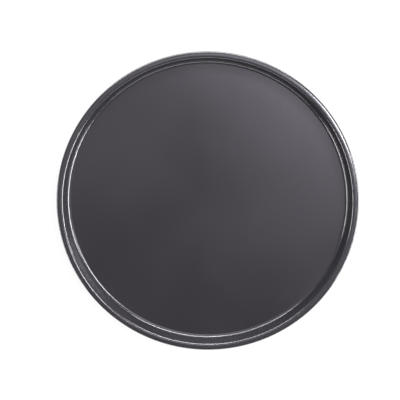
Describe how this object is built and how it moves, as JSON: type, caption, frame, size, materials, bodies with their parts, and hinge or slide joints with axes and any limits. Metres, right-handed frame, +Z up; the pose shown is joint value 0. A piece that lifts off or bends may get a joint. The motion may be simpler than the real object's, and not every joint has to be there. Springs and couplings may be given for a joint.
{
  "type": "pizza pan",
  "caption": "Shallow round pan with a flat floor, a short sloping wall and a rolled rim stiffened by a wire, for baking pizza and flatbread.",
  "frame": {"origin": "middle of the underside of the base, on the surface that the pan stands on", "axes": "+Z up along the pan's axis of symmetry, out of its open side; +X and +Y lie in the plane of the base"},
  "size_m": [0.3679, 0.368, 0.019],
  "materials": {
    "non_stick_coat": "satin dark grey non-stick coat on sheet steel",
    "drawn_steel_wire": "bright drawn wire, unpainted"
  },
  "bodies": {
    "root": {"pan_body": "non_stick_coat", "rim_wire": "drawn_steel_wire"}
  },
  "joints": []
}
